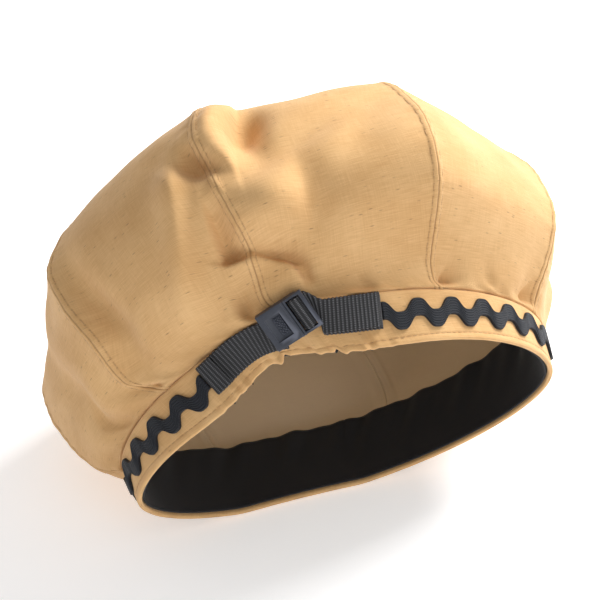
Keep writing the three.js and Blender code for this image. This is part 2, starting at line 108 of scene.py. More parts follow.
def makeRing(half, back, front, z, shift, lean, backPower, frontPower, lift):
    angle = np.linspace(-math.pi, math.pi, ringSteps + 1)
    side, rear = np.sin(angle), np.cos(angle)
    power = np.where(rear > 0, backPower, frontPower)
    reach = (np.abs(side) ** power + np.abs(rear) ** power) ** (-1 / power)
    away = (np.degrees(angle) - band["liftAngle"]) / band["liftSpread"]
    points = np.stack([
        half * side * reach + shift + lean * np.clip(rear, 0, None) ** 2,
        -np.where(rear > 0, back, front) * rear * reach,
        z + lift * hump(away, 1)], -1)
    steps = np.linalg.norm(np.diff(points, axis=0), axis=1)
    lengths = np.append(0, np.cumsum(steps))
    return {"points": points, "lengths": lengths, "round": lengths[-1],
            "start": lengths[ringSteps // 2], "middle": np.array([shift, 0, z])}


def ringPoints(ring, share):
    wanted = (ring["start"] + share * ring["round"]) % ring["round"]
    return np.stack([np.interp(wanted, ring["lengths"], ring["points"][:, k]) for k in range(3)], -1)


rimRing = makeRing(band["rimHalf"], band["rimBack"], band["rimFront"], 0, band["rimShift"],
                   band["rimLean"], band["backFullness"], band["frontFullness"], band["rimLift"])
topRing = makeRing(band["topHalf"], band["topBack"], band["topFront"], band["rise"],
                   band["topShift"], band["topLean"], band["backFullness"],
                   band["frontFullness"], band["topLift"])
bandRound = topRing["round"]


def bandFace(share, up):
    up = np.asarray(up)[..., None]
    points = ringPoints(rimRing, share) * (1 - up) + ringPoints(topRing, share) * up
    return press(points, band["braidRoom"], cap["rimSoftness"])


def bandPoint(share, up, out):
    around = bandFace(share + shareStep, up) - bandFace(share - shareStep, up)
    upward = bandFace(share, up + upStep) - bandFace(share, up - upStep)
    return bandFace(share, up) + unit(np.cross(around, upward)) * np.asarray(out)[..., None]


# The band's width, and how far its upper edge is sheared against its lower one
shares = np.linspace(-0.5, 0.5, 361)
edgeWay = ringPoints(topRing, shares) - ringPoints(rimRing, shares)
bandSlant = np.linalg.norm(edgeWay, axis=1)
halfUp = shares * 0 + 0.5
aroundWay = unit(bandFace(shares + shareStep, halfUp) - bandFace(shares - shareStep, halfUp))
bandSkew = (unit(edgeWay) * aroundWay).sum(1)


def shareOf(round):
    return (round / bandRound + 0.5) % 1 - 0.5


def slantAt(round):
    return np.interp(shareOf(round), shares, bandSlant)


def bandPlace(round, rise, out):
    # millimetres round from the back centre, up from the rim and out
    return bandPoint(round / bandRound, rise / slantAt(round), out)


def squareOnBand(round, slope):
    # the way square across a line on the band, in those millimetres
    skew = np.interp(shareOf(round), shares, bandSkew)
    square = np.sqrt(1 - skew ** 2)
    along = slope[:, 0] + slope[:, 1] * skew
    return np.stack([-slope[:, 1] * square - along * skew / square, along / square, round * 0], -1)


# Crown sections from the band's seam upwards. rise is a share of the height; half, back and
# front are shares of the crown's; shift and lean of its half; turn carries the seams round;
# facet is how flat the cloth lies between two seams.
crown = {
    "half": 141, "back": 157, "front": 127, "height": 119,
    "fullness": 2.1,
    "wall": 1.8,
    "tip": 0.15,
    "seamShare": -0.02,
    "foldFree": 0.06,        # no folds this near to the band, as a share of the way up
    "foldCentre": 0.4,       # height that the folds fall towards
    "ripple": 0.22,          # small unevenness of the cloth
    "ripples": 26, "rippleShort": 14, "rippleLong": 55,
    "ease": 0.55,            # gathers along the band's seam
    "easeWaves": (23, 31, 38, 47),
    "creasing": 1.5,         # more makes every sharp crease deeper
    "steps": 560, "panelSteps": 200,      # of the table, to the top and across a panel
}
crownColumns = ("rise", "half", "back", "front", "shift", "lean", "turn", "facet")
crownSections = [
    (0.07, 0.890, 0.680, 0.550, -0.015, 0, -0.020, 0.25),
    (0.22, 0.976, 0.965, 0.640, 0, 0.05, -0.032, 0.70),
    (0.42, 1.005, 1.055, 0.850, -0.013, 0.02, -0.027, 0.80),
    (0.62, 0.982, 1.028, 0.945, -0.014, -0.05, -0.016, 0.80),
    (0.80, 0.850, 0.940, 0.825, 0.005, -0.085, -0.008, 0.65),
    (0.92, 0.634, 0.661, 0.608, -0.003, -0.05, -0.012, 0.45),
    (0.98, 0.317, 0.344, 0.339, -0.018, -0.06, -0.017, 0.25),
]
# Soft folds, then sharp creases. round counts panels from the back seam, rise is a share of
# the way up, tilt is degrees from straight up, and the rest are shares of a panel's width.
foldColumns = ("round", "rise", "tilt", "length", "width", "depth")
crownFolds = [
    (0.20, 0.50, 0, 0.26, 0.09, -0.050), (0.36, 0.41, 62, 0.34, 0.12, -0.050),
    (0.08, 0.47, 0, 0.26, 0.08, 0.025), (7.93, 0.43, -35, 0.20, 0.10, -0.040),
    (7.88, 0.25, 20, 0.20, 0.12, -0.065), (0.14, 0.20, 62, 0.28, 0.09, -0.060),
    (0.20, 0.14, 40, 0.20, 0.10, 0.030), (7.14, 0.26, -4, 0.50, 0.09, -0.045),
    (7.50, 0.24, 10, 0.60, 0.16, 0.030), (6.50, 0.24, -14, 0.55, 0.12, -0.040),
    (6.78, 0.20, -14, 0.50, 0.12, 0.025), (6.90, 0.13, -10, 0.22, 0.09, -0.035),
    (1.08, 0.06, 0, 0.22, 0.08, -0.030), (1.86, 0.07, 8, 0.22, 0.09, -0.035),
    (2.50, 0.30, 20, 0.60, 0.14, -0.035), (0.60, 0.72, 30, 0.50, 0.16, -0.045),
    (6.70, 0.70, -25, 0.50, 0.16, -0.040),
]
creaseColumns = ("round", "rise", "tilt", "length", "left", "right", "depth")
crownCreases = [
    # right of the back seam: the notch, the lobe under it and the hooked edge below that
    (0.155, 0.520, 5, 0.26, 0.014, 0.15, -0.066), (0.08, 0.530, 2, 0.20, 0.06, 0.050, 0.030),
    (0.38, 0.270, 5, 0.24, 0.06, 0.10, -0.026), (0.20, 0.275, 10, 0.18, 0.12, 0.110, 0.036),
    (0.11, 0.205, -62, 0.14, 0.020, 0.07, -0.062), (0.235, 0.170, -30, 0.08, 0.020, 0.05, -0.040),
    (0.262, 0.145, -4, 0.06, 0.025, 0.035, -0.022),
    # left of the seam: the dent, the crescent hollow and the long ridge
    (7.98, 0.435, -30, 0.13, 0.09, 0.035, -0.062), (7.885, 0.280, 15, 0.13, 0.016, 0.08, -0.060),
    (7.92, 0.222, -72, 0.09, 0.018, 0.08, -0.056), (7.84, 0.420, 18, 0.20, 0.10, 0.050, 0.036),
    (7.74, 0.300, 22, 0.24, 0.10, 0.050, 0.036), (7.64, 0.180, 13, 0.20, 0.10, 0.050, 0.028),
    # down at the band
    (7.86, 0.130, 2, 0.12, 0.020, 0.06, -0.022), (7.80, 0.130, 5, 0.14, 0.05, 0.030, 0.024),
    (7.10, 0.280, 1, 0.30, 0.05, 0.120, -0.034), (1.10, 0.070, 14, 0.12, 0.02, 0.060, -0.020),
    (1.88, 0.080, 20, 0.12, 0.02, 0.060, -0.022), (7.03, 0.070, -20, 0.12, 0.05, 0.020, -0.020),
    (0.56, 0.070, 6, 0.12, 0.04, 0.030, -0.012), (1.45, 0.060, -8, 0.14, 0.05, 0.030, -0.012),
    (6.55, 0.120, -6, 0.22, 0.03, 0.080, -0.022), (0.75, 0.420, 30, 0.30, 0.10, 0.140, -0.016),
]


def crownRow(up):
    place = up * (len(crownRows) - 1)
    low = min(int(place), len(crownRows) - 2)
    part = place - low
    before, start, end, after = (crownRows[min(max(i, 0), len(crownRows) - 1)]
                                 for i in (low - 1, low, low + 1, low + 2))
    return 0.5 * (2 * start + (end - before) * part
                  + (2 * before - 5 * start + 4 * end - after) * part ** 2
                  + (3 * start - before - 3 * end + after) * part ** 3)


full = crown["fullness"]
crownRows = [np.array([band["topHalf"], band["topBack"], band["topFront"], band["rise"],
                       band["topShift"], band["topLean"], band["backFullness"],
                       band["frontFullness"], band["topLift"], 0, 0])]
for values in crownSections:
    row = dict(zip(crownColumns, values))
    crownRows.append(np.array([
        row["half"] * crown["half"], row["back"] * crown["back"], row["front"] * crown["front"],
        band["rise"] + row["rise"] * crown["height"], row["shift"] * crown["half"],
        row["lean"] * crown["half"], full, full, 0, row["turn"], row["facet"]]))
crownRows.append(np.array([crown["tip"], crown["tip"], crown["tip"], band["rise"] + crown["height"],
                           0, 0, full, full, 0, -0.015, 0]))


def rippleAt(points):
    # seeded waves through space, smooth over every seam
    total = np.zeros(points.shape[:-1])
    for _ in range(crown["ripples"]):
        way = unit(rng.normal(size=3)) * 2 * math.pi / rng.uniform(crown["rippleShort"], crown["rippleLong"])
        total += np.sin(points @ way + rng.uniform(0, 2 * math.pi))
    return total / math.sqrt(crown["ripples"])


# The crown's outer face as one fine table, read by the panels and by their seams
ups = np.linspace(0, 1, crown["steps"] + 1)
rounds = np.linspace(0, panels, panels * crown["panelSteps"] + 1)
crownFace = np.zeros((len(ups), len(rounds), 3))
panelWidths = np.zeros(len(ups))
for i, up in enumerate(ups):
    *section, turn, facet = crownRow(up)
    section[:3] = [max(value, crown["tip"]) for value in section[:3]]
    ring = makeRing(*section)
    points = ringPoints(ring, rounds / panels + crown["seamShare"] + turn)
    between = (rounds % 1 - 0.5) * 2 * math.pi / panels
    draw = 1 - facet * (1 - math.cos(math.pi / panels) / np.cos(between))
    crownFace[i] = (points - ring["middle"]) * draw[:, None] + ring["middle"]
    panelWidths[i] = ring["round"] / panels
panelWidth = panelWidths[crown["steps"] // 2]
panelLength = crown["height"] + crown["back"]
roundGrid, upGrid = np.meshgrid(rounds, ups)
depth = np.zeros_like(roundGrid)


def foldPlace(fold):
    # along and aside of a fold, in panel widths
    across = (roundGrid - fold["round"] + panels / 2) % panels - panels / 2
    x = across * panelWidths[:, None] / panelWidth
    y = (upGrid - fold["rise"]) * panelLength / panelWidth
    turn = math.radians(fold["tilt"])
    return y * math.cos(turn) + x * math.sin(turn), x * math.cos(turn) - y * math.sin(turn)


for values in crownFolds:
    fold = dict(zip(foldColumns, values))
    along, aside = foldPlace(fold)
    depth += fold["depth"] * panelWidth * hump(along, fold["length"]) * hump(aside, fold["width"])
for values in crownCreases:
    fold = dict(zip(creaseColumns, values))
    along, aside = foldPlace(fold)
    fall = np.where(aside < 0, fold["left"], fold["right"])
    depth += fold["depth"] * panelWidth * crown["creasing"] * hump(along, fold["length"]) * hump(aside, fall)
depth *= smoothStep(upGrid, 0, crown["foldFree"])
depth += crown["ripple"] * rippleAt(crownFace) * smoothStep(upGrid, 0, 0.05)
ease = sum(np.sin(roundGrid / panels * 2 * math.pi * wave + rng.uniform(0, 6))
           for wave in crown["easeWaves"])
depth += crown["ease"] * ease / 2 * hump(upGrid - 0.03, 0.035) * smoothStep(upGrid, 0, 0.02)
crownMiddle = np.array([0, 0, band["rise"] + crown["height"] * crown["foldCentre"]])
crownFace += unit(crownFace - crownMiddle) * depth[..., None]
crownFace = press(crownFace, 0, cap["pressSoftness"])
crownOut = unit(np.cross(np.gradient(crownFace, axis=1), np.gradient(crownFace, axis=0)))
crownOut[:, 0] = crownOut[:, -1] = unit(crownOut[:, 0] + crownOut[:, -1])
crownOut[-1] = unit(crownOut[-2].mean(0))
seamSteps = np.linalg.norm(np.diff(crownFace[:, ::crown["panelSteps"]], axis=0), axis=2)
seamLengths = np.concatenate([np.zeros((1, panels + 1)), np.cumsum(seamSteps, axis=0)])
print("crown shaped")


def readTable(table, round, up):
    x = round % panels / panels * (len(rounds) - 1)
    y = np.clip(up, 0, 1) * (len(ups) - 1)
    i = np.minimum(y.astype(int), len(ups) - 2)
    j = np.minimum(x.astype(int), len(rounds) - 2)
    x, y = (x - j)[..., None], (y - i)[..., None]
    low = table[i, j] * (1 - x) + table[i, j + 1] * x
    high = table[i + 1, j] * (1 - x) + table[i + 1, j + 1] * x
    return low * (1 - y) + high * y


def crownPlace(round, up, out):
    return readTable(crownFace, round, up) + readTable(crownOut, round, up) * out[..., None]


# Making pieces
def makeSlab(columns, rows):
    # a flat sheet, x and y from 0 to 1 and its lower face at z -1
    bm = bmesh.new()
    bmesh.ops.create_grid(bm, x_segments=columns, y_segments=rows, size=0.5)
    bmesh.ops.translate(bm, verts=bm.verts, vec=(0.5, 0.5, 0))
    grown = bmesh.ops.extrude_face_region(bm, geom=bm.faces[:], use_keep_orig=True)
    lower = [part for part in grown["geom"] if isinstance(part, bmesh.types.BMVert)]
    bmesh.ops.translate(bm, verts=lower, vec=(0, 0, -1))
    bmesh.ops.recalc_face_normals(bm, faces=bm.faces)
    return bm


def openEnds(bm):
    ends = [face for face in bm.faces
            if all(v.co.x < 1e-5 for v in face.verts) or all(v.co.x > 1 - 1e-5 for v in face.verts)]
    bmesh.ops.delete(bm, geom=ends, context="FACES_ONLY")
    return bm


def finishPiece(name, mesh, nodes, material):
    piece = bpy.data.objects.new(name, mesh)
    scene.collection.objects.link(piece)
    mesh.materials.clear()
    mesh.materials.append(material)
    mesh.shade_smooth()
    if nodes:
        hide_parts(*nodes)
    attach(piece, "root")


def mould(name, bm, place, cloth, nodes, material, extra=None):
    # lays the slab's corners out by functions of their shares
    mesh = bpy.data.meshes.new(name)
    bm.to_mesh(mesh)
    bm.free()
    flat = np.zeros(len(mesh.vertices) * 3)
    mesh.vertices.foreach_get("co", flat)
    x, y, z = flat.reshape(-1, 3).T.copy()
    points = onFloor(place(x, y, z))
    mesh.vertices.foreach_set("co", points.astype(np.float32).ravel())
    corners = np.zeros(len(mesh.loops), int)
    mesh.loops.foreach_get("vertex_index", corners)
    layer = mesh.uv_layers.new(name="cloth")
    layer.data.foreach_set("uv", (cloth(x, y, z)[corners] * mm).astype(np.float32).ravel())
    if extra:
        for label, values in extra(x, y, z).items():
            mesh.attributes.new(label, "FLOAT", "POINT").data.foreach_set("value", values.astype(np.float32))
    bm = bmesh.new()
    bm.from_mesh(mesh)
    bmesh.ops.remove_doubles(bm, verts=bm.verts, dist=2e-6)
    bmesh.ops.dissolve_degenerate(bm, dist=1e-7, edges=bm.edges)
    bm.to_mesh(mesh)
    bm.free()
    finishPiece(name, mesh, nodes, material)


# Shader nodes as expressions
class Wire:
    def __init__(self, paint, socket):
        self.paint, self.socket = paint, socket

    def __add__(self, other):
        return self.paint.maths("ADD", self, other)

    def __sub__(self, other):
        return self.paint.maths("SUBTRACT", self, other)

    def __rsub__(self, other):
        return self.paint.maths("SUBTRACT", other, self)

    def __mul__(self, other):
        return self.paint.maths("MULTIPLY", self, other)

    __radd__ = __add__
    __rmul__ = __mul__


class Paint:
    def __init__(self, name, roughness, **constants):
        self.material = bpy.data.materials.new(name)
        self.material.use_nodes = True
        self.tree = self.material.node_tree
        self.shader = self.tree.nodes["Principled BSDF"]
        self.shader.inputs["Roughness"].default_value = roughness
        for label, value in constants.items():
            self.shader.inputs[label.replace("_", " ")].default_value = value

    def node(self, kind, settings=None, **sockets):
        made = self.tree.nodes.new("ShaderNode" + kind)
        for label, value in (settings or {}).items():
            setattr(made, label, value)
        for label, value in sockets.items():
            key = int(label[1:]) if label[0] == "i" and label[1:].isdigit() else label.replace("_", " ")
            self.feed(made.inputs[key], value)
        return made

    def feed(self, socket, value):
        if isinstance(value, Wire):
            self.tree.links.new(value.socket, socket)
        else:
            socket.default_value = value

    def wire(self, made, output=0):
        return Wire(self, made.outputs[output])

    def maths(self, operation, *values):
        return self.wire(self.node("Math", {"operation": operation},
                                   **{f"i{i}": value for i, value in enumerate(values)}))

    def cloth(self):
        # metres on the flat cloth, as millimetres
        uv = self.wire(self.node("UVMap", {"uv_map": "cloth"}))
        return self.stretch(uv, (1 / mm, 1 / mm, 1))

    def stretch(self, vector, scale):
        return self.wire(self.node("Mapping", {"vector_type": "POINT"}, Vector=vector, Scale=scale))

    def parts(self, vector):
        split = self.node("SeparateXYZ", None, Vector=vector)
        return self.wire(split, 0), self.wire(split, 1)

    def noise(self, vector, scale, detail=2.0):
        return self.wire(self.node("TexNoise", None, Vector=vector, Scale=scale, Detail=detail))

    def between(self, value, low, high):
        # 0 below low, 1 above high and smooth between
        return self.wire(self.node("MapRange", {"interpolation_type": "SMOOTHSTEP"}, Value=value,
                                   From_Min=low, From_Max=high))

    def mix(self, share, first, second):
        made = self.node("Mix", {"data_type": "RGBA"}, Factor=share)
        self.feed(made.inputs[6], first)
        self.feed(made.inputs[7], second)
        return self.wire(made, 2)

    def attribute(self, label):
        return self.wire(self.node("Attribute", {"attribute_name": label}), 2)

    def colour(self, value):
        self.feed(self.shader.inputs["Base Color"], value)

    def roughness(self, value):
        self.feed(self.shader.inputs["Roughness"], value)

    def bump(self, height, distance, strength):
        made = self.node("Bump", None, Height=height, Distance=distance, Strength=strength)
        self.feed(self.shader.inputs["Normal"], self.wire(made))


def srgb(red, green, blue):
    return tuple(((c / 255 + 0.055) / 1.055) ** 2.4 if c > 10 else c / 255 / 12.92
                 for c in (red, green, blue)) + (1.0,)


def shaded(colour, factor):
    return tuple(c * factor for c in colour[:3]) + (1,)


cotton = {
    "light": srgb(226, 184, 130), "dark": srgb(204, 158, 103),
    # fleck also colours the painted seam shade; inside is the paler, painted-light copy of the cotton for
    # the inner face
    "fleck": srgb(112, 78, 48), "inside": srgb(238, 224, 200),
    "yarn": 0.42,            # millimetres from yarn to yarn
}


def cottonPaint(name, flecks, seams=False):
    paint = Paint(name, 0.9, Sheen_Weight=0.15, Sheen_Roughness=0.5, Specular_IOR_Level=0.25)
    flat = paint.cloth()
    weft = paint.noise(paint.stretch(flat, (0.10, 2.0, 1)), 1.0, 3.0)
    warp = paint.noise(paint.stretch(flat, (2.0, 0.08, 1)), 1.0, 3.0)
    cloud = paint.noise(flat, 0.03, 3.0)
    tone = 0.5 + (weft - 0.5) * 0.9 + (warp - 0.5) * 0.5 + (cloud - 0.5) * 0.9
    colour = paint.mix(paint.between(tone, 0.1, 0.9), cotton["dark"], cotton["light"])
    # flecks: short dark bits of husk spun into the weft
    cells = paint.node("TexVoronoi", {"feature": "F1"}, Vector=paint.stretch(flat, (0.20, 0.9, 1)),
                       Scale=1.0, Randomness=1.0)
    pick, size = paint.parts(paint.wire(cells, 1))
    chosen = paint.between(pick, 1 - flecks, 1 - flecks + 0.02)
    fleck = chosen * (1 - paint.between(paint.wire(cells, 0), 0.10, 0.34)) * paint.between(size, -0.4, 1.2)
    colour = paint.mix(fleck * 0.6, colour, cotton["fleck"])
    u, v = paint.parts(flat)
    yarn = 2 * math.pi / cotton["yarn"]
    weave = paint.maths("SINE", u * yarn) * paint.maths("SINE", v * yarn)
    slub = paint.between(weft, 0.55, 0.8) + paint.between(warp, 0.6, 0.85) * 0.6
    height = weave * 0.25 + slub * 0.8 + (weft + warp) * 0.5 + fleck * 0.5
    if seams:
        away, along = paint.attribute("seamAway"), paint.attribute("seamAlong")
        # painted shade: darker in the seam's groove and along the stitch line, darkest at the needle holes,
        # in the fleck colour
        hole = paint.between(paint.maths("COSINE", along * (2 * math.pi / seam["stitch"])), 0.55, 0.95)
        line = 1 - paint.between(paint.maths("ABSOLUTE", away - seam["stitchAt"]), 0.15, 0.6)
        groove = 1 - paint.between(away, 0.1, 0.7)
        dark = groove * 0.30 + line * (0.10 + hole * 0.26)
        colour = paint.mix(dark, colour, cotton["fleck"])
        # painted light: the panels' inner face gets a paler copy of the cotton, standing in for light inside
        # the crown
        colour = paint.mix(paint.attribute("inside") * 0.75, colour, cotton["inside"])
    paint.colour(colour)
    paint.roughness(0.84 + weft * 0.12)
    paint.bump(height, 0.00012, 0.6)
    return paint.material


seam = {
    "stitch": 3.4,           # from one needle hole to the next
    "stitchAt": 2.55,        # from the seam
    "strip": 0.42,           # how far the pressed-open allowance stands out
    "stripEdge": (2.4, 3.3),
    "groove": 0.45, "grooveWidth": 0.38,
    "dip": 0.34, "dipWidth": 0.45,
    "pucker": 0.16,
    "allowance": 7,          # on the inside
    "allowanceWall": 0.9,
    "fade": (5, 15),         # panel widths over which all this fades towards the tip
    "tipFree": 14,           # no stitches nearer the tip
}
panel = {
    "rows": 215,
    "firstUps": (0, 0.0015, 0.003, 0.005, 0.008), "evenFrom": 0.012,
    "edge": (0, 0.25, 0.5, 0.8, 1.2, 1.7, 2.15, 2.55, 2.95, 3.4, 4.2, 5.5, 7.2, 9),
    "edgeFits": 22,          # width from which the edge's columns keep their places
    "middle": 40, "creased": {0: 92, 7: 92},      # columns between the edges
    "tuck": 0.55, "tuckWidth": 0.9, "overlap": 1.2,
    "apart": 300,            # from one panel's flat cloth to the next
}
crownCotton = cottonPaint("PanelCotton", 0.16, True)
bandCotton = cottonPaint("BandCotton", 0.07)


def makePanel(index):
    edge = np.array(panel["edge"])
    middle = panel["creased"].get(index, panel["middle"])
    columns = 2 * (len(edge) - 1) + middle
    evenRows = panel["rows"] + 1 - len(panel["firstUps"])
    rowUps = np.append(panel["firstUps"], np.linspace(panel["evenFrom"], 1, evenRows))

    def spread(x, y):
        up = rowUps[np.rint(y * panel["rows"]).astype(int)]
        width = np.interp(up, ups, panelWidths)
        fit = np.minimum(1, width / panel["edgeFits"])
        column = np.rint(x * columns).astype(int)
        fromLeft, fromRight = column, columns - column
        last = len(edge) - 1
        nearer = np.minimum(fromLeft, fromRight)
        edgeAway = edge[np.minimum(nearer, last)] * fit
        part = (column - last) / middle
        inner = edge[-1] * fit + part * (width - 2 * edge[-1] * fit)
        fromEdge = np.where(fromLeft < last, edgeAway, np.where(fromRight < last, width - edgeAway, inner))
        return fromEdge, width, up

    def place(x, y, z):
        fromEdge, width, up = spread(x, y)
        away = np.minimum(fromEdge, width - fromEdge)
        seamOf = index + (fromEdge > width / 2)
        along = seamAlong(seamOf, up)
        fade = smoothStep(width, *seam["fade"])
        phase = np.cos(2 * math.pi * along / seam["stitch"])
        strip = seam["strip"] * (1 - smoothStep(away, *seam["stripEdge"]))
        dip = seam["dip"] * hump(away - seam["stitchAt"], seam["dipWidth"]) * (0.7 + 0.3 * phase)
        drawn = np.sin(along * 0.72 + 1.3 * np.sin(along * 0.19 + seamOf))
        pucker = seam["pucker"] * drawn * hump(away - 3, 4.5)
        outer = (strip - dip + pucker) * fade - seam["groove"] * hump(away, seam["grooveWidth"])
        outer -= panel["tuck"] * hump(up * panelLength, panel["tuckWidth"])
        allowance = 1 - smoothStep(away, seam["allowance"] - 0.6, seam["allowance"])
        inside = -crown["wall"] - seam["allowanceWall"] * allowance * fade
        inside += 0.6 * hump(away, 0.5) * fade
        lifted = np.where(z < -0.5, inside, outer)
        round = index + fromEdge / width
        points = crownPlace(round, up, lifted)
        # the lowest row is tucked into the band
        rising = crownPlace(round, up * 0 + panel["evenFrom"], lifted) - crownPlace(round, up * 0, lifted)
        return points - unit(rising) * (panel["overlap"] * (up == 0))[:, None]

    def cloth(x, y, z):
        fromEdge, width, up = spread(x, y)
        return np.stack([fromEdge - width / 2 + index * panel["apart"], up * panelLength + 0.01 * z], -1)

    def extra(x, y, z):
        fromEdge, width, up = spread(x, y)
        away = np.minimum(fromEdge, width - fromEdge)
        tip = 40 * (1 - smoothStep(width, 3, 7))      # no seam lines where the panels end
        return {"inside": np.where(z < -0.5, 1.0, 0.0), "seamAway": away + tip,
                "seamAlong": seamAlong(index + (fromEdge > width / 2), up)}

    mould(f"panel{index + 1}", makeSlab(columns, panel["rows"]), place, cloth, [f"panel_{index + 1}"],
          crownCotton, extra)


def seamAlong(seamOf, up):
    place = np.clip(up, 0, 1) * (len(ups) - 1)
    low = np.minimum(place.astype(int), len(ups) - 2)
    part = place - low
    return seamLengths[low, seamOf] * (1 - part) + seamLengths[low + 1, seamOf] * part


for index in range(panels):
    makePanel(index)
print("panels made")

stitch = {"length": 2.7, "width": 0.42, "height": 0.3, "lift": 0.12, "colour": srgb(205, 160, 106)}


def threadPaint(name, colour):
    paint = Paint(name, 0.7, Sheen_Weight=0.2)
    flat = paint.wire(paint.node("TexCoord"), "Object")
    twist = paint.noise(flat, 2600.0, 2.0)
    paint.colour(paint.mix(paint.between(twist, 0.3, 0.7), shaded(colour, 0.7), colour))
    paint.bump(twist, 0.0001, 0.6)
    return paint.material


def makeStitches(name, centres, ways, normals, material, slotName):
    # one small bead of thread for each stitch
    bead = bmesh.new()
    bmesh.ops.create_uvsphere(bead, u_segments=6, v_segments=5, radius=1,
                              matrix=Matrix.Rotation(math.pi / 2, 4, "Y"))
    mesh = bpy.data.meshes.new(name)
    bead.to_mesh(mesh)
    bead.free()
    shape = np.array([vert.co for vert in mesh.vertices]) * (
        stitch["length"] / 2, stitch["width"] / 2, stitch["height"] / 2)
    bm = bmesh.new()
    for _ in centres:
        bm.from_mesh(mesh)
    bm.to_mesh(mesh)
    bm.free()
    ways = unit(ways)
    sides = unit(np.cross(normals, ways))
    turns = np.stack([ways, sides, np.cross(ways, sides)], 1)
    points = onFloor(shape @ turns + centres[:, None])
    mesh.vertices.foreach_set("co", points.astype(np.float32).ravel())
    finishPiece(name, mesh, [], material)


def seamStitches():
    centres, ways, normals = [], [], []
    for number in range(panels):
        lengths = seamLengths[:, number]
        along = np.arange(seam["stitch"] * 1.5, lengths[-1] - seam["tipFree"], seam["stitch"])
        up = np.interp(along, lengths, ups)
        ahead = np.interp(along + 1, lengths, ups)
        for side in (-1, 1):
            round = number + side * seam["stitchAt"] / np.interp(up, ups, panelWidths)
            roundAhead = number + side * seam["stitchAt"] / np.interp(ahead, ups, panelWidths)
            centre = crownPlace(round, up, up * 0 + stitch["lift"])
            centres.append(centre)
            ways.append(crownPlace(roundAhead, ahead, up * 0 + stitch["lift"]) - centre)
            normals.append(readTable(crownOut, round, up))
    return np.concatenate(centres), np.concatenate(ways), np.concatenate(normals)


tanThread = threadPaint("TanThread", stitch["colour"])
makeStitches("seamStitches", *seamStitches(), tanThread, "crown_cloth")
print("seams stitched")


# Band and sweatband
ruffle = {"from": -92, "to": 40, "fade": 30, "pitch": 8.6, "depth": 0.75, "scallop": 0.4}
# the gathers that stand out: place round, width, how far out and how far down
gathers = [(-37, 2.6, 2.6, 1.6), (-33, 1.6, -1.6, -1.2), (-15, 2.0, 1.1, 0.5), (-6, 1.4, -1.4, -1.4),
           (-2, 1.8, 1.3, 0.8), (8, 2.2, 0.9, 0.3), (-58, 2.4, 0.8, 0.4)]
rimStitch = {"rise": 3.8, "pitch": 3.4, "sunk": 0.12, "groove": 0.3}


def ruffleWeight(round):
    return smoothStep(round, ruffle["from"], ruffle["from"] + ruffle["fade"]) * (
        1 - smoothStep(round, ruffle["to"] - ruffle["fade"], ruffle["to"]))


def ruffleWave(round):
    phase = round / ruffle["pitch"] * 2 * math.pi
    return (np.sin(phase + 1.7 * np.sin(round * 0.11)) + 0.5 * np.sin(phase * 1.63 + 2)) / 1.3


def bandSurface(round, rise, out):
    # the free band with its gathers behind the strap
    share = round / bandRound
    slant = slantAt(round)
    up = rise / slant
    drawn = ruffleWeight(round) * np.clip(1 - up, 0, 1) ** 1.4
    wave = ruffleWave(round)
    outward, down = ruffle["depth"] * wave * drawn, ruffle["scallop"] * wave * drawn
    for middle, width, lift, drop in gathers:
        single = hump(round - middle, width) * np.clip(1 - up, 0, 1) ** 2
        outward, down = outward + lift * single, down - drop * single
    return bandPoint(share, up + down / slant, out + outward)


def makeBand():
    rows = 36
    lip, seamLip = band["wall"] / 2, 0.45
    # rows lie closest at the rim
    rise = np.concatenate([[0, 0.06, 0.2, 0.45, 0.8, 1.3], np.linspace(1.8, 6, 12)])
    riseShare = np.linspace(0, 1, rows + 1 - len(rise) + 1)[1:]

    def spread(x, y):
        round = (x - 0.5) * bandRound
        slant = slantAt(round)
        row = np.rint(y * rows).astype(int)
        low = rise[np.minimum(row, len(rise) - 1)]
        part = riseShare[np.clip(row - len(rise), 0, len(riseShare) - 1)]
        return round, np.where(row < len(rise), low, rise[-1] + (slant - rise[-1]) * part), slant

    def place(x, y, z):
        round, up, slant = spread(x, y)
        edge = np.minimum(up / lip, (slant - up) / seamLip)
        half = lip * np.sqrt(1 - (1 - np.clip(edge, 0, 1)) ** 2)
        side = np.where(z < -0.5, -1, 1)
        stitched = rimStitch["groove"] * hump(up - rimStitch["rise"], 0.5)
        swell = 0.12 * hump(up - 1.8, 1.2)
        crease = 0.12 * np.sin(round * 0.31 + 2 * np.sin(round * 0.07)) * hump(up - 8, 7)
        out = -lip + side * half + np.where(side > 0, swell + crease - stitched, 0)
        return bandSurface(round, up, out)

    def cloth(x, y, z):
        round, up = spread(x, y)[:2]
        return np.stack([round, up + 60 * z], -1)

    mould("band", openEnds(makeSlab(720, rows)), place, cloth, ["band"], bandCotton)


def rimStitches():
    round = np.arange(0, bandRound, rimStitch["pitch"])
    rise, out = round * 0 + rimStitch["rise"], round * 0 - rimStitch["sunk"]
    centre = bandSurface(round, rise, out)
    return centre, bandSurface(round + 1, rise, out) - centre, bandSurface(round, rise, out * 0 + 1) - centre


makeBand()
makeStitches("rimStitches", *rimStitches(), tanThread, "band_cloth")

sweatband = {"from": 2, "to": 44, "wall": 1.2, "gap": 0.5, "lean": 3, "pucker": 1.4, "puckers": 22,
             "peek": 3.0, "hem": 5, "yarn": 0.5, "colour": srgb(17, 16, 20)}


def sweatbandPaint():
    paint = Paint("SweatbandCloth", 0.85, Sheen_Weight=0.12, Sheen_Roughness=0.4)
    flat = paint.cloth()
    u, v = paint.parts(flat)
    rate = 2 * math.pi / sweatband["yarn"]
    black = sweatband["colour"]
    weave = paint.maths("SINE", (u + v) * rate) * 0.6 + paint.maths("SINE", (u - v) * rate) * 0.4
    lint = paint.noise(flat, 0.6, 4.0)
    paint.colour(paint.mix(paint.between(lint, 0.35, 0.75), shaded(black, 0.75), shaded(black, 1.5)))
    paint.roughness(0.78 + lint * 0.15)
    paint.bump(weave + lint * 0.8, 0.00008, 0.5)
    return paint.material


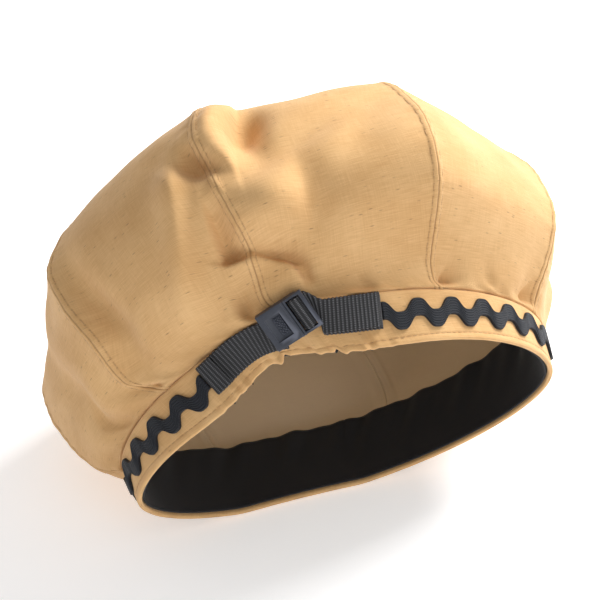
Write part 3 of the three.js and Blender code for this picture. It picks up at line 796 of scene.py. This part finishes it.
def makeSweatband():
    rows = 28
    tall = sweatband["to"] - sweatband["from"]

    def place(x, y, z):
        round = (x - 0.5) * bandRound
        # it hangs lower where the rim is gathered
        peek = sweatband["peek"] * ruffleWeight(round) * (0.6 + 0.5 * ruffleWave(round * 1.1 + 3))
        rise = sweatband["from"] + tall * y - peek * (1 - y) ** 3
        phase = round / bandRound * sweatband["puckers"] * 2 * math.pi
        slanted = phase + 1.6 * np.sin(round * 0.021) + y * 2.2
        fold = 0.5 * (np.cos(slanted) - 1) + 0.35 * np.sin(slanted * 1.73 + 1)
        lift = -band["wall"] - sweatband["gap"] + sweatband["pucker"] * fold * smoothStep(y, 0.1, 1) ** 1.3
        lift -= sweatband["lean"] * y ** 2
        hem = -0.35 * hump((1 - y) * tall - sweatband["hem"], 0.5)
        return bandPlace(round, rise, lift - sweatband["wall"] * np.where(z < -0.5, 1, 0) + hem)

    def cloth(x, y, z):
        return np.stack([(x - 0.5) * bandRound, y * tall + 60 * z], -1)

    mould("sweatband", openEnds(makeSlab(480, rows)), place, cloth, ["sweatband"],
          sweatbandPaint())


makeSweatband()
print("band and sweatband made")

# Webbing and buckle. Places round the band are millimetres from the back centre, and heights
# are shares of its width.
web = {"width": 16.9, "wall": 1.5, "left": -70, "tab": 10, "tabRise": 0.62, "leftRise": 0.56,
       "right": 26.5, "rightRise": 0.68, "frameRise": 0.82, "frameDip": 0.55, "frameClear": 2,
       "rib": 1.95, "ribDepth": 0.26, "dot": 0.85, "colour": srgb(13, 13, 15), "crestHighlight": srgb(104, 104, 108)}
buckle = {"at": -16, "rise": 0.88, "turn": 24, "length": 25.5, "width": 20.4, "wall": 4, "block": 14,
          "ridge": 2.4, "ridgeHeight": 0.6, "ridgeGroove": (1.05, 1.55), "endBar": 1.9, "sideBar": 1.4,
          "rollBar": 1.7, "pad": 5.2, "padWidth": 10.5, "net": 1.7, "ramp": 0.9,
          "pocket": 8.4, "pocketWidth": 12.8, "pocketDepth": 1.3, "bevel": 0.2,
          "colour": srgb(56, 60, 71), "edgeHighlight": srgb(120, 124, 138)}
level = np.array([[1.0, 0.0]])        # the slope of a line along the band

# Rick-rack braid
rick = {"pitch": 20.5, "swing": 3.3, "tall": 8.8, "wall": 1.3, "rise": 0.535, "endGap": 0.8,
        "cords": 7, "cord": 0.3, "plait": 0.85, "colour": srgb(24, 28, 36)}


def makeRickRack():
    def squareFoot(round, share):
        # where a square line on the band crosses the braid's middle line
        place = np.array([float(round)])
        square = squareOnBand(place, level)[0]
        return round - (share - rick["rise"]) * slantAt(round) * square[0] / square[1]

    start = squareFoot(web["right"], web["rightRise"]) + rick["endGap"]
    length = bandRound + squareFoot(web["left"], web["tabRise"]) - rick["endGap"] - start
    waves = round(length / rick["pitch"])
    columns, rows = waves * 24, rick["cords"] * 4

    def spread(x, y):
        phase = x * waves * 2 * math.pi
        return start + x * length, np.cos(phase) - 0.11 * np.cos(3 * phase), (y - 0.5) * rick["tall"]

    def place(x, y, z):
        along, wave, across = spread(x, y)
        edge = np.clip((rick["tall"] / 2 - np.abs(across)) / 0.7, 0, 1)
        thick = rick["wall"] * (0.35 + 0.65 * np.sqrt(1 - (1 - edge) ** 2))
        cords = rick["cord"] * (np.abs(np.sin(math.pi * y * rick["cords"])) - 0.5)
        out = np.where(z < -0.5, 0.4 * band["layGap"], band["layGap"] + thick + cords)
        square = squareOnBand(along, np.repeat(level, len(along), 0))
        aside = square * (rick["swing"] * wave + across)[:, None]
        return bandPlace(along + aside[:, 0], rick["rise"] * slantAt(along) + aside[:, 1], out)

    def cloth(x, y, z):
        along, wave, across = spread(x, y)
        return np.stack([x * length, across + 30 * z], -1)

    paint = Paint("RickRack", 0.6, Sheen_Weight=0.1, Specular_IOR_Level=0.3)
    flat = paint.cloth()
    u, v = paint.parts(flat)
    plait = paint.maths("SINE", (u + v * 0.9) * (2 * math.pi / rick["plait"]))
    lint = paint.noise(flat, 0.8, 3.0)
    cordRate = math.pi * rick["cords"] / rick["tall"]
    ridge = paint.maths("ABSOLUTE", paint.maths("SINE", (v + rick["tall"] / 2) * cordRate))
    # painted light: the cords' crests are lighter and the gaps between them darker; the plait adds pattern
    # and the lint random tone
    tone = ridge * 0.55 + plait * 0.12 + lint * 0.4
    paint.colour(paint.mix(paint.between(tone, 0.1, 1.0), shaded(rick["colour"], 0.45),
                           shaded(rick["colour"], 1.5)))
    paint.roughness(0.5 + lint * 0.25)
    paint.bump(plait * 0.6 + ridge, 0.00018, 0.7)
    mould("rickRack", makeSlab(columns, rows), place, cloth, ["rick_rack"],
          paint.material)


makeRickRack()
print("rick-rack made")

lowerOut = band["layGap"] + web["wall"] / 2
upperOut = lowerOut + web["wall"] + band["layGap"]
foldRadius = (upperOut - lowerOut) / 2


def mapLine(x, x0, x1, y0, y1):
    return y0 + (y1 - y0) * (x - x0) / (x1 - x0)


def leftLine(round):
    return mapLine(round, web["left"], buckle["at"], web["tabRise"] * slantAt(web["left"]),
                   web["leftRise"] * slantAt(buckle["at"]))


def rightLine(round):
    return mapLine(round, buckle["at"] + buckle["length"] / 2, web["right"],
                   web["frameRise"] * slantAt(buckle["at"]), web["rightRise"] * slantAt(web["right"]))


def straight(start, end, out):
    # stations of the webbing: along, out and the angle of its way, in degrees
    steps = math.ceil(abs(end - start) / 3)
    return [(start + (end - start) * i / steps, out, 0 if end > start else 180) for i in range(steps + 1)]


def bend(along, out, radius, start, end, steps):
    made = []
    for i in range(steps + 1):
        angle = start + (end - start) * i / steps
        turn = math.radians(angle)
        made.append((along + radius * math.cos(turn), out + radius * math.sin(turn),
                     angle + (90 if end > start else -90)))
    return made


def layOnBand(places):
    return bandPlace(places[:, 0], places[:, 1], places[:, 2])


def stationFrames(points, line, lay=layOnBand, square=squareOnBand):
    # middle of the webbing, the way to its side and the way out of it, at each station
    along, out, angle = np.array(points, float).T
    angle = np.radians(angle)
    nought = along * 0
    slope = unit(np.stack([nought + 1, line(along + 0.5) - line(along - 0.5)], 1))
    outward = np.stack([-slope[:, 0] * np.sin(angle), -slope[:, 1] * np.sin(angle), np.cos(angle)], 1)
    aside = square(along, slope)
    place = np.stack([along, line(along) + nought, out], 1)
    side = lay(place + aside * web["width"] / 2) - lay(place - aside * web["width"] / 2)
    return np.concatenate([lay(place), unit(side), unit(lay(place + outward) - lay(place - outward))], 1)


def makeStrap(name, frames, node, material):
    steps = np.linalg.norm(np.diff(frames[:, :3], axis=0), axis=1)
    lengths = np.append(0, np.cumsum(steps))
    tangents = np.gradient(frames, lengths, axis=0)
    columns, rows = int(lengths[-1] / web["rib"] * 8), 46

    def framesAt(wanted):
        low = np.clip(np.searchsorted(lengths, wanted) - 1, 0, len(lengths) - 2)
        gap = (lengths[low + 1] - lengths[low])[:, None]
        t = (wanted - lengths[low])[:, None] / gap
        return ((2 * t ** 3 - 3 * t ** 2 + 1) * frames[low] + (t ** 3 - 2 * t ** 2 + t) * gap * tangents[low]
                + (3 * t ** 2 - 2 * t ** 3) * frames[low + 1] + (t ** 3 - t ** 2) * gap * tangents[low + 1])

    def place(x, y, z):
        along = x * lengths[-1]
        found = framesAt(along)
        across = (y - 0.5) * web["width"]
        radius = web["wall"] / 2
        edge = np.clip((web["width"] / 2 - np.abs(across)) / radius, 0, 1)
        rib = along / web["rib"] * 2 * math.pi
        dots = np.cos(across / web["dot"] * 2 * math.pi + math.pi * np.round(along / web["rib"]))
        relief = web["ribDepth"] * (np.cos(rib) - 1) / 2 + 0.05 * dots * (0.5 + 0.5 * np.cos(rib))
        half = radius * np.sqrt(1 - (1 - edge) ** 2) + relief * smoothStep(edge, 0, 1)
        saw = 0.16 * np.cos(rib) * (1 - edge) * np.sign(across)
        return found[:, :3] + unit(found[:, 3:6]) * (across + saw)[:, None] + unit(found[:, 6:]) * (
            half * np.where(z < -0.5, -1, 1))[:, None]

    def cloth(x, y, z):
        return np.stack([x * lengths[-1], (y - 0.5) * web["width"] + 40 * z], -1)

    mould(name, makeSlab(columns, rows), place, cloth, [node], material)


def webPaint():
    paint = Paint("Webbing", 0.5, Specular_IOR_Level=0.4)
    flat = paint.cloth()
    u, v = paint.parts(flat)
    rib = paint.maths("COSINE", u * (2 * math.pi / web["rib"]))
    yarn = paint.maths("SINE", v * (2 * math.pi / web["dot"]) + u * (math.pi / web["rib"]))
    lint = paint.noise(flat, 1.2, 3.0)
    # painted highlights: the dots on the rib crests, and the crests a little, are mixed towards pale grey;
    # the lint adds random tone
    crest, dot = paint.between(rib, -0.3, 0.9), paint.between(yarn, -0.2, 0.8)
    tone = crest * dot * 0.8 + crest * 0.08 + lint * 0.12
    paint.colour(paint.mix(tone, web["colour"], web["crestHighlight"]))
    paint.roughness(0.45 + lint * 0.2)
    paint.bump(yarn * rib, 0.00012, 0.8)
    return paint.material


webbing = webPaint()
foldRound = web["left"] + web["wall"] / 2 + foldRadius
leftFrames = stationFrames([
    *straight(web["left"] + web["tab"], foldRound + foldRadius, upperOut),
    *bend(foldRound, (lowerOut + upperOut) / 2, foldRadius, 90, 270, 8),
    *straight(foldRound + foldRadius, buckle["at"] - buckle["block"] / 2, lowerOut)], leftLine)
makeStrap("strapLeft", leftFrames, "strap_left", webbing)

# The buckle's frame: X along the strap, Y across it, Z out of the cap
buckleFloor = lowerOut + web["wall"] / 2 + band["layGap"]
buckleHeight = buckle["rise"] * slantAt(buckle["at"])


def bandOne(round, rise, out):
    return bandPlace(np.array([float(round)]), np.array([float(rise)]), np.array([float(out)]))[0]


buckleOrigin = bandOne(buckle["at"], buckleHeight, buckleFloor)
buckleOut = unit(buckleOrigin - bandOne(buckle["at"], buckleHeight, 0))
buckleSide = squareOnBand(np.array([float(buckle["at"])]), level)[0]
buckleAlong = unit(np.cross(bandOne(buckle["at"] + buckleSide[0], buckleHeight + buckleSide[1],
                                    buckleFloor) - buckleOrigin, buckleOut))
buckleUp = np.cross(buckleOut, buckleAlong)
turnBack = math.radians(buckle["turn"])
buckleAxes = np.stack([buckleAlong * math.cos(turnBack) + buckleUp * math.sin(turnBack),
                       buckleUp * math.cos(turnBack) - buckleAlong * math.sin(turnBack), buckleOut])


def layInBuckle(places):
    return places @ buckleAxes + buckleOrigin


def squareInBuckle(along, slope):
    return np.stack([along * 0, along * 0 + 1, along * 0], 1)


windowFrom = -buckle["length"] / 2 + buckle["block"] + buckle["ridge"]
windowTo = buckle["length"] / 2 - buckle["endBar"]
rollRadius = buckle["rollBar"] * math.sqrt(0.5) + 2 * band["layGap"] + web["wall"] / 2
rollAlong = windowFrom + band["layGap"] + web["wall"] / 2 + rollRadius
rollOut = buckle["wall"] / 2
lowerUnder = lowerOut - buckleFloor - web["frameDip"]
upperUnder = lowerUnder + web["wall"] + band["layGap"]
rightFold = web["right"] - web["wall"] / 2
rightStart = buckle["at"] + buckle["length"] / 2 + web["frameClear"]
rightFrames = np.concatenate([
    stationFrames(straight(rightFold + 0.6, rightStart, lowerOut), lambda x: rightLine(x) - 1.2),
    stationFrames([(windowTo - band["layGap"], lowerUnder, 180),
                   *bend(rollAlong, rollOut, rollRadius, 270, 0, 12),
                   (windowTo - web["wall"] / 2 - band["layGap"], (rollOut + upperUnder) / 2, 300),
                   (windowTo + buckle["endBar"] / 2, upperUnder, 0)], lambda x: x * 0, layInBuckle,
                  squareInBuckle),
    stationFrames([*straight(rightStart, rightFold - foldRadius, upperOut),
                   *bend(rightFold - foldRadius, upperOut - foldRadius, foldRadius, 45, 0, 2),
                   (rightFold, lowerOut, 270)], rightLine)])
makeStrap("strapRight", rightFrames, "strap_right", webbing)
print("webbing made")


def makeBuckle():
    half, wide = buckle["length"] / 2, buckle["width"] / 2
    front, deep = wide - buckle["sideBar"], buckle["pocketWidth"] / 2
    pocketFrom = -half + (buckle["block"] - buckle["pocket"]) / 2
    pocketTo = pocketFrom + buckle["pocket"]
    rampTo = pocketTo - buckle["pad"]
    ridgeFrom = windowFrom - buckle["ridge"]
    ridges = [ridgeFrom, *(ridgeFrom + place for place in buckle["ridgeGroove"]), windowFrom]
    xCuts = [-half, pocketFrom, rampTo, pocketTo, *ridges, windowTo - buckle["endBar"], windowTo, half]
    yCuts = [-wide, -front, -deep, deep, front, wide]
    bm = makeSlab(len(xCuts) - 1, len(yCuts) - 1)
    for vert in bm.verts:
        column = round(vert.co.x * (len(xCuts) - 1))
        row = round(vert.co.y * (len(yCuts) - 1))
        top = vert.co.z > -0.5
        under = buckle["wall"] / 2 if xCuts[column] >= windowTo - 0.1 else 0
        vert.co = (xCuts[column], yCuts[row], buckle["wall"] if top else under)

    def inside(face, low, high, across):
        centre = face.calc_center_median()
        return low < centre.x < high and abs(centre.y) < across

    window = [f for f in bm.faces if inside(f, windowFrom, windowTo, front) and abs(f.normal.z) > 0.5]
    bmesh.ops.delete(bm, geom=window, context="FACES")
    bmesh.ops.bridge_loops(bm, edges=[e for e in bm.edges if e.is_boundary])

    def lift(low, high, across, height, slope=0):
        faces = [f for f in bm.faces if f.normal.z > 0.9 and inside(f, low, high, across)]
        grown = bmesh.ops.extrude_face_region(bm, geom=faces)
        verts = [part for part in grown["geom"] if isinstance(part, bmesh.types.BMVert)]
        bmesh.ops.translate(bm, verts=verts, vec=(0, 0, height))
        for vert in verts:
            if slope and vert.co.x < low + 0.1:
                vert.co.z += slope
        bmesh.ops.delete(bm, geom=[f for f in faces if f.is_valid], context="FACES_ONLY")

    lift(ridges[0], ridges[1], wide + 1, buckle["ridgeHeight"])
    lift(ridges[2], ridges[3], wide + 1, buckle["ridgeHeight"])
    lift(pocketFrom, pocketTo, deep, -buckle["pocketDepth"], buckle["ramp"])
    bmesh.ops.recalc_face_normals(bm, faces=bm.faces)
    sharp = [e for e in bm.edges if len(e.link_faces) == 2 and e.calc_face_angle() > math.radians(25)]
    bmesh.ops.bevel(bm, geom=sharp, offset=buckle["bevel"], segments=3, profile=0.5, affect="EDGES",
                    material=-1, clamp_overlap=True)
    # the raised pad, cut with a net of fine grooves
    pad = makeSlab(36, 60)
    for vert in pad.verts:
        x = rampTo + 0.2 + vert.co.x * (buckle["pad"] - 0.7)
        y = (vert.co.y - 0.5) * buckle["padWidth"]
        rate = math.pi / buckle["net"]
        net = abs(math.sin((x + y) * rate)) * abs(math.sin((x - y) * rate))
        edge = min(vert.co.x, 1 - vert.co.x, vert.co.y, 1 - vert.co.y)
        pocketFloor = buckle["wall"] - buckle["pocketDepth"]
        top = pocketFloor + (0.35 + 0.5 * min(net * 2.2, 1)) * min(edge * 12, 1)
        vert.co = (x, y, top if vert.co.z > -0.5 else pocketFloor - 0.3)
    padMesh = bpy.data.meshes.new("pad")
    pad.to_mesh(padMesh)
    pad.free()
    bm.from_mesh(padMesh)
    bar = bmesh.ops.create_cone(bm, cap_ends=True, segments=16, radius1=buckle["rollBar"] / 2,
                                radius2=buckle["rollBar"] / 2, depth=2 * front + 1)
    bmesh.ops.rotate(bm, verts=bar["verts"], cent=(0, 0, 0), matrix=Matrix.Rotation(math.pi / 2, 3, "X"))
    bmesh.ops.translate(bm, verts=bar["verts"], vec=(rollAlong, 0, rollOut))
    local = np.array([v.co for v in bm.verts])
    for vert, point in zip(bm.verts, onFloor(layInBuckle(local))):
        vert.co = point
    mesh = bpy.data.meshes.new("buckle")
    bm.to_mesh(mesh)
    bm.free()
    paint = Paint("BucklePlastic", 0.42, Specular_IOR_Level=0.5)
    place = paint.wire(paint.node("TexCoord"), "Object")
    grain = paint.noise(place, 900.0, 3.0)
    edge = paint.wire(paint.node("NewGeometry"), "Pointiness")
    # painted highlight: the buckle's sharp edges are made lighter
    edgeHighlight = paint.between(edge, 0.52, 0.62)
    base = paint.mix(paint.between(grain, 0.3, 0.7), shaded(buckle["colour"], 0.85), buckle["colour"])
    paint.colour(paint.mix(edgeHighlight * 0.6, base, buckle["edgeHighlight"]))
    paint.roughness(0.36 + grain * 0.16)
    paint.bump(grain, 0.00004, 0.5)
    finishPiece("buckle", mesh, ["buckle"], paint.material)
    mesh.set_sharp_from_angle(angle=math.radians(40))


makeBuckle()
print("buckle made")

# Floor, light and camera
studio = {"floorHalf": 4, "floorGlow": 0.38, "floor": srgb(243, 243, 245), "floorPale": srgb(247, 247, 248),
          "world": 0.5}
floorMesh = bpy.data.meshes.new("floor")
bm = bmesh.new()
bmesh.ops.create_grid(bm, x_segments=1, y_segments=1, size=studio["floorHalf"])
bm.to_mesh(floorMesh)
bm.free()
floor = bpy.data.objects.new("floor", floorMesh)
scene.collection.objects.link(floor)
floorPaint = Paint("Floor", 0.9, Emission_Strength=studio["floorGlow"], Emission_Color=(1, 1, 1, 1))
shade = floorPaint.noise(floorPaint.wire(floorPaint.node("TexCoord"), "Object"), 3.0)
floorPaint.colour(floorPaint.mix(shade, studio["floor"], studio["floorPale"]))
floorMesh.materials.append(floorPaint.material)

view = {"azimuth": 18.94, "elevation": 40.99, "distance": 1.13, "target": (0.00393, 0.02005, 0.08205),
        "lens": 127.8}


def aim(turned, place, target):
    turned.location = place
    turned.rotation_euler = (Vector(target) - Vector(place)).to_track_quat("-Z", "Y").to_euler()


cameraData = bpy.data.cameras.new("camera")
cameraData.lens = view["lens"]
cameraData.sensor_width = 36
camera = bpy.data.objects.new("camera", cameraData)
scene.collection.objects.link(camera)
azimuth, elevation = math.radians(view["azimuth"]), math.radians(view["elevation"])
toCamera = Vector((-math.sin(azimuth) * math.cos(elevation), -math.cos(azimuth) * math.cos(elevation),
                   math.sin(elevation)))
aim(camera, Vector(view["target"]) + toCamera * view["distance"], view["target"])
scene.camera = camera

lights = {
    "key": {"place": (1.0, 0.35, 1.05), "size": 0.7, "power": 31},
    "fill": {"place": (0.7, -1.3, 0.45), "size": 0.9, "power": 4},
}
for name, light in lights.items():
    lamp = bpy.data.lights.new(name, "AREA")
    lamp.size, lamp.energy = light["size"], light["power"]
    lampObject = bpy.data.objects.new(name, lamp)
    scene.collection.objects.link(lampObject)
    aim(lampObject, light["place"], (0, 0, 0.1))
world = bpy.data.worlds.new("studio")
world.use_nodes = True
world.node_tree.nodes["Background"].inputs[0].default_value = (1, 1, 1, 1)
world.node_tree.nodes["Background"].inputs[1].default_value = studio["world"]
scene.world = world
scene.view_settings.view_transform = "Standard"

print("scene ready")
